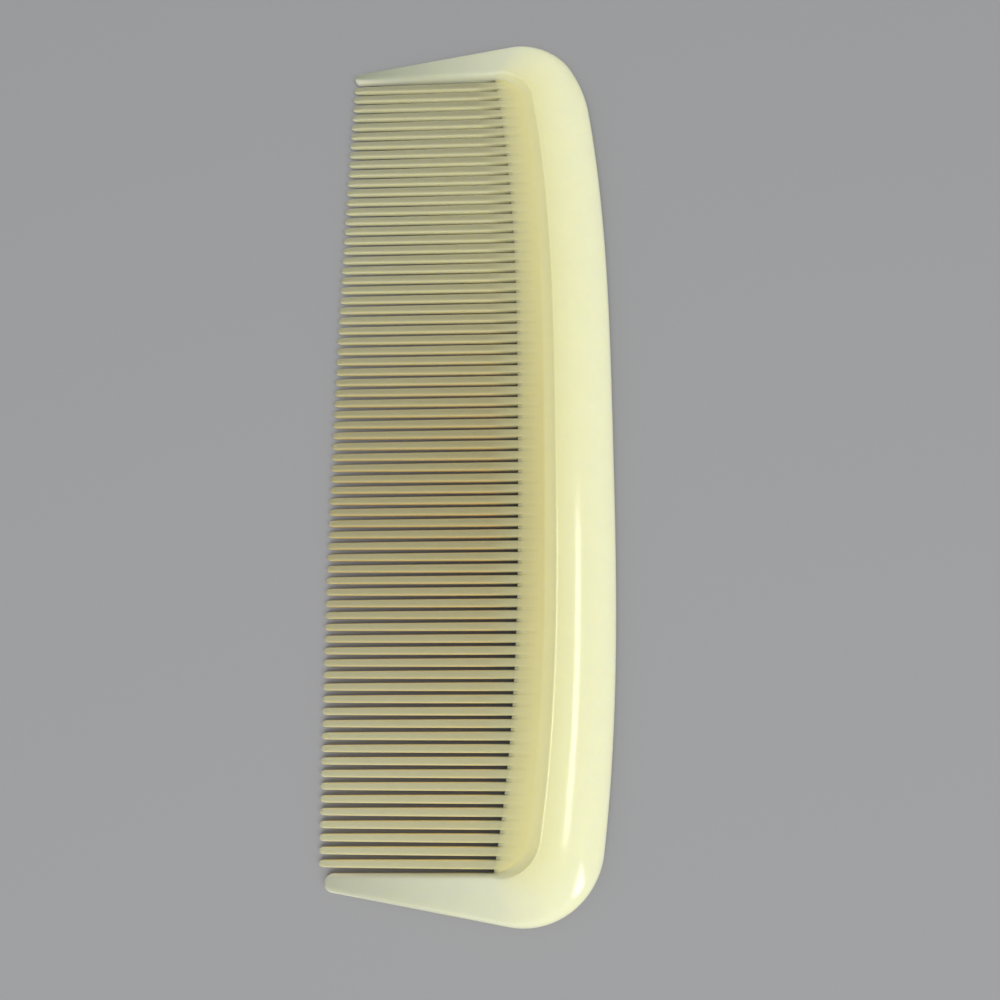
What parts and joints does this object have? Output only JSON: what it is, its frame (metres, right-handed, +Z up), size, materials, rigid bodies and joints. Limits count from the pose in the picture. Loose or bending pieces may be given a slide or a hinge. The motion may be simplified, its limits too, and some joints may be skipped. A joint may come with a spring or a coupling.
{
  "type": "dressing comb",
  "caption": "One-piece moulded hair comb with a single row of fine teeth between two broad guard teeth and a thick rounded back.",
  "frame": {"origin": "under the middle of the comb's outline, in the plane that the crown of its back rests on", "axes": "+X along the comb, +Y from the tooth tips to the back, +Z up through its thickness"},
  "size_m": [0.1758, 0.0548, 0.0052],
  "materials": {
    "ivory_plastic": "glossy ivory, slightly translucent where it is thin"
  },
  "bodies": {
    "root": {"comb": "ivory_plastic"}
  },
  "joints": []
}
